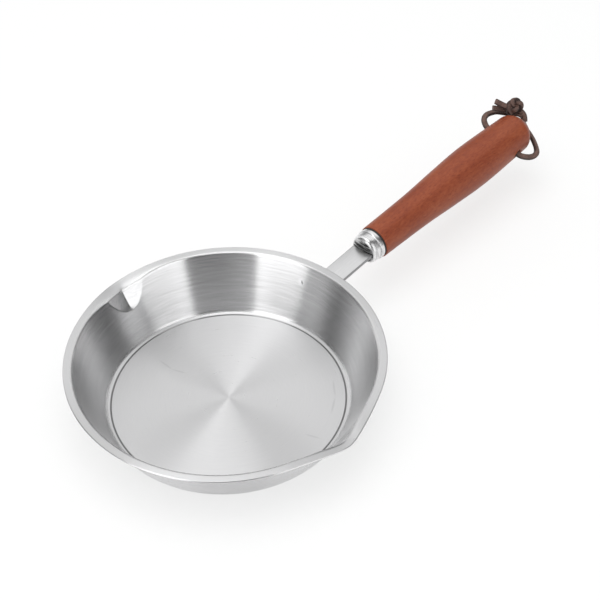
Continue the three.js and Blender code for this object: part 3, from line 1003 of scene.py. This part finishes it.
def polished_ferrule_steel():
    """Polished steel with turning marks round the ferrule, and a dark reflection painted in streaks on its
    front.
    """
    recipe = Recipe("polished_ferrule_steel")
    recipe.set(Metallic=1)
    place = recipe.object_coords()
    turning = recipe.noise(recipe.stretch(place, (1, 0.12, 0.12)), scale=1500, detail=3)
    reflection_streaks = recipe.noise(recipe.stretch(place, (0.3, 0.12, 1)), scale=1500, detail=2)
    haze = recipe.noise(place, scale=500, detail=4)
    axis = handle_frame.to_3x3() @ Vector((1, 0, 0))
    tip = (handle_frame @ Vector((FERRULE_FRONT, 0, 0))).dot(axis)
    station = recipe.measure("DOT_PRODUCT", place, axis)
    # Painted reflection: the dome's front near the strap is darkened in streaks, standing in for the dark it
    # reflects
    painted_reflection_share = recipe.spread(station, 1.0, 0.0, *[tip + distance for distance in PAINTED_REFLECTION_FADE])
    bright = recipe.ramp(turning, [(0.36, steel_tone(0.55)), (0.62, steel_tone(0.82))])
    dark = recipe.ramp(reflection_streaks, [(0.4, grey(0.03)), (0.52, grey(0.13)), (0.64, grey(0.6))])
    recipe.feed("Base Color", recipe.mix(painted_reflection_share, bright, dark))
    recipe.feed("Roughness", recipe.spread(haze, 0.24, 0.32, *NOISE_SPAN))
    recipe.bump(turning, strength=0.1, distance=0.0001)
    return recipe.material


# Painted shade: a dark ring that stands in for the line of shade between the ferrule and the wood
def painted_shadow_ring():
    recipe = Recipe("painted_shadow_ring")
    grain = recipe.noise(recipe.object_coords(), scale=2500)
    colour = recipe.ramp(grain, [(0.3, (0.012, 0.011, 0.011)), (0.7, (0.022, 0.02, 0.02))])
    recipe.feed("Base Color", colour)
    recipe.feed("Roughness", recipe.spread(grain, 0.5, 0.7))
    return recipe.material


def lacquered_wood():
    """Stained wood with its grain along the handle, under a thin lacquer."""
    recipe = Recipe("lacquered_wood")
    recipe.set(Coat_Weight=0.12, Coat_Roughness=0.3, Specular_IOR_Level=0.3)
    place = recipe.object_coords()

    def grain(length_scale, scale, detail):
        along_handle = recipe.stretch(place, (length_scale, 1, 1), rotation=(0, HANDLE_RISE, 0))
        return recipe.noise(along_handle, scale, detail)

    streaks = grain(0.15, scale=330, detail=4)
    specks = grain(0.45, scale=1100, detail=3)
    pores = grain(0.2, scale=2600, detail=2)
    clouds = grain(0.6, scale=90, detail=2)
    tone = recipe.weigh((streaks, 0.25), (specks, 0.4), (clouds, 0.35))
    dark, middle, light = (0.215, 0.036, 0.011), (0.27, 0.054, 0.016), (0.325, 0.078, 0.027)
    colour = recipe.ramp(tone, [(0.36, dark), (0.5, middle), (0.64, light)])
    dark_pores = recipe.ramp(pores, [(0.32, (0.78, 0.72, 0.7)), (0.45, grey(1))])
    recipe.feed("Base Color", recipe.mix(1.0, colour, dark_pores, "MULTIPLY"))
    recipe.feed("Roughness", recipe.spread(specks, 0.42, 0.55, *NOISE_SPAN))
    recipe.bump(pores, strength=0.08, distance=0.0001)
    return recipe.material


def dark_leather():
    """Waxed leather, with painted shade along both edges of the lace."""
    recipe = Recipe("dark_leather")
    across = recipe.node("ShaderNodeAttribute", attribute_name="across").outputs["Fac"]
    inside = recipe.spread(recipe.math("ABSOLUTE", across), 1.0, 0.0, start=0.5, end=1.0)
    place = recipe.object_coords()
    grain = recipe.noise(place, scale=2200, detail=4)
    patches = recipe.noise(place, scale=420, detail=2)
    tone = recipe.weigh((grain, 0.5), (patches, 0.5))
    dark, middle, light = (0.058, 0.03, 0.022), (0.117, 0.063, 0.048), (0.193, 0.109, 0.083)
    colour = recipe.ramp(tone, [(0.3, dark), (0.5, middle), (0.7, light)])
    # Painted shade: the lace darkens towards both edges, where its rounded sides turn away from the light
    edges = recipe.ramp(inside, [(0.0, (0.3, 0.28, 0.28)), (1.0, grey(1))])
    recipe.feed("Base Color", recipe.mix(1.0, colour, edges, "MULTIPLY"))
    recipe.feed("Roughness", recipe.spread(grain, 0.55, 0.75, *NOISE_SPAN))
    recipe.bump(grain, strength=0.35, distance=0.0002)
    return recipe.material


def set_adhesive():
    recipe = Recipe("set_adhesive")
    clouds = recipe.noise(recipe.object_coords(), scale=300, detail=3)
    recipe.feed("Base Color", recipe.ramp(clouds, [(0.3, (0.40, 0.31, 0.15)), (0.7, (0.52, 0.43, 0.25))]))
    recipe.feed("Roughness", recipe.spread(clouds, 0.45, 0.65))
    return recipe.material


# Studio: a floor that fades out, a soft lamp, and a dome that only shows in reflections
FLOOR_SIZE = 1.2
FLOOR_FADE = (0.3, 0.55)
FLOOR_COVER = 0.35
WORLD_FILL = 0.74
KEY_PLACE = (-0.1, 0, 0.85)
KEY_SIZE = 0.8
KEY_POWER = 3.5
SURROUND_RADIUS = 1.2
SURROUND_FADE = 0.15

# Bright panel overhead: its direction, and the cosines of the angles between which it fades in
OVERHEAD = Vector((-0.07, 0.072, 0.85)).normalized()
OVERHEAD_EDGE = (math.cos(math.radians(23)), math.cos(math.radians(15)))
OVERHEAD_LEVEL = 2.3

# Dome by heading in degrees: its glow low down and high up, and the share of its height where they meet
BACK_CARD = 2.4
SIDE_CARD = 1.85
LOW_GLOW = [
    (-161, BACK_CARD),
    (-158.5, 0.45),
    (-135, 0.15),
    (-110, 0.1),
    (-107.5, SIDE_CARD),
    (-73, SIDE_CARD),
    (-70, 0.5),
    (-53, 0.55),
    (-47, 0.05),
    (-22, 0),
    (0, 0.25),
    (20, 0.15),
    (45, 0.15),
    (70, 0.75),
    (95, 1),
    (115, 0),
    (130, 0.15),
    (145, 0.45),
    (162.5, 0.45),
    (165, BACK_CARD),
]
HIGH_GLOW = [(-33, 0), (-22, 1.1), (95, 1.1), (115, 1.55), (162.5, 1.55), (165, 0)]
GLOW_CHANGE = [(-33, 0.75), (-22, 0.45), (0, 0.4), (70, 0.4), (95, 0.45), (115, 0.7), (130, 0.75)]


class WorldRecipe(Recipe):
    """World under construction."""

    def __init__(self, name):
        self.world = bpy.data.worlds.new(name)
        self.world.use_nodes = True
        self.tree = self.world.node_tree


def background_ray(recipe):
    """One for rays that see the background: from the camera, or by way of gloss or glass."""
    path = recipe.node("ShaderNodeLightPath").outputs
    seen = recipe.math("MAXIMUM", path["Is Camera Ray"], path["Is Glossy Ray"])
    return recipe.math("MAXIMUM", seen, path["Is Transmission Ray"])


def make_world():
    """White background, with a weaker light on what is matt."""
    recipe = WorldRecipe("studio_world")
    recipe.tree.nodes.clear()
    fill, white = (
        recipe.node("ShaderNodeBackground", {"Color": (1, 1, 1, 1), "Strength": strength}).outputs[0]
        for strength in (WORLD_FILL, 1.0)
    )
    shown = recipe.node("ShaderNodeMixShader", {0: background_ray(recipe), 1: fill, 2: white}).outputs[0]
    recipe.node("ShaderNodeOutputWorld", {"Surface": shown})
    bpy.context.scene.world = recipe.world


def floor_paint():
    """Matt white that fades out round the pan."""
    recipe = Recipe("floor_paint")
    recipe.set(Base_Color=(0.95, 0.95, 0.95, 1), Roughness=1.0, Specular_IOR_Level=0)
    distance = recipe.measure("LENGTH", recipe.object_coords())
    recipe.feed("Alpha", recipe.spread(distance, FLOOR_COVER, 0.0, *FLOOR_FADE))
    return recipe.material


def surround_paint():
    """Glow of the dome, by heading and height."""
    recipe = Recipe("surround_paint")
    place = recipe.object_coords()
    x, y, z = recipe.split(place)
    share = recipe.spread(recipe.math("ARCTAN2", y, x), 0.0, 1.0, -math.pi, math.pi)
    low, high, change = (
        recipe.ramp(share, [((heading + 180) / 360, grey(level)) for heading, level in stops])
        for stops in (LOW_GLOW, HIGH_GLOW, GLOW_CHANGE)
    )
    above = recipe.math("SUBTRACT", recipe.math("DIVIDE", z, SURROUND_RADIUS), change)
    level = recipe.mix(recipe.spread(above, 0.0, 1.0, 0.0, SURROUND_FADE), low, high)
    facing = recipe.math("DIVIDE", recipe.measure("DOT_PRODUCT", place, OVERHEAD), SURROUND_RADIUS)
    overhead = recipe.spread(facing, 0.0, 1.0, *OVERHEAD_EDGE)
    level = recipe.mix(overhead, level, (*grey(OVERHEAD_LEVEL), 1))
    glow = recipe.node("ShaderNodeEmission", {"Color": level, "Strength": 1.0})
    recipe.tree.nodes.remove(recipe.shader)
    recipe.tree.links.new(glow.outputs[0], recipe.tree.nodes["Material Output"].inputs["Surface"])
    return recipe.material


def stage_object(name, bm, material):
    piece = loose_object(name, bm)
    piece.data.materials.append(material)
    return piece


def make_floor():
    bm = bmesh.new()
    bmesh.ops.create_grid(bm, x_segments=1, y_segments=1, size=FLOOR_SIZE)
    stage_object("floor", bm, floor_paint())


def make_surround():
    """Half a globe that glows on the pan's steel, and shows in nothing else."""
    bm = bmesh.new()
    bmesh.ops.create_uvsphere(bm, u_segments=96, v_segments=48, radius=SURROUND_RADIUS)
    geom = bm.verts[:] + bm.edges[:] + bm.faces[:]
    bmesh.ops.bisect_plane(bm, geom=geom, plane_co=(0, 0, 0), plane_no=(0, 0, 1), clear_inner=True)
    surround = stage_object("surround", bm, surround_paint())
    for ray in ("camera", "diffuse", "transmission", "shadow", "volume_scatter"):
        setattr(surround, f"visible_{ray}", False)


def make_key_lamp():
    """Square soft box aimed at the pan."""
    light = bpy.data.lights.new("key_lamp", "AREA")
    light.size = KEY_SIZE
    light.energy = KEY_POWER
    lamp = bpy.data.objects.new("key_lamp", light)
    lamp.location = KEY_PLACE
    lamp.visible_glossy = False
    lamp.rotation_euler = Vector(KEY_PLACE).to_track_quat("Z", "Y").to_euler()
    bpy.context.scene.collection.objects.link(lamp)


def main():
    bpy.context.scene.view_settings.view_transform = "Standard"
    make_camera()
    make_lace(dark_leather())
    make_bowl(brushed_pan_steel())
    make_strap(satin_strap_steel())
    make_ferrule(polished_ferrule_steel())
    make_shadow_ring(painted_shadow_ring())
    make_grip(lacquered_wood())
    adhesive = bpy.data.objects["tang_adhesive"]
    adhesive.data.materials.clear()
    adhesive.data.materials.append(set_adhesive())
    make_world()
    make_floor()
    make_surround()
    make_key_lamp()


main()
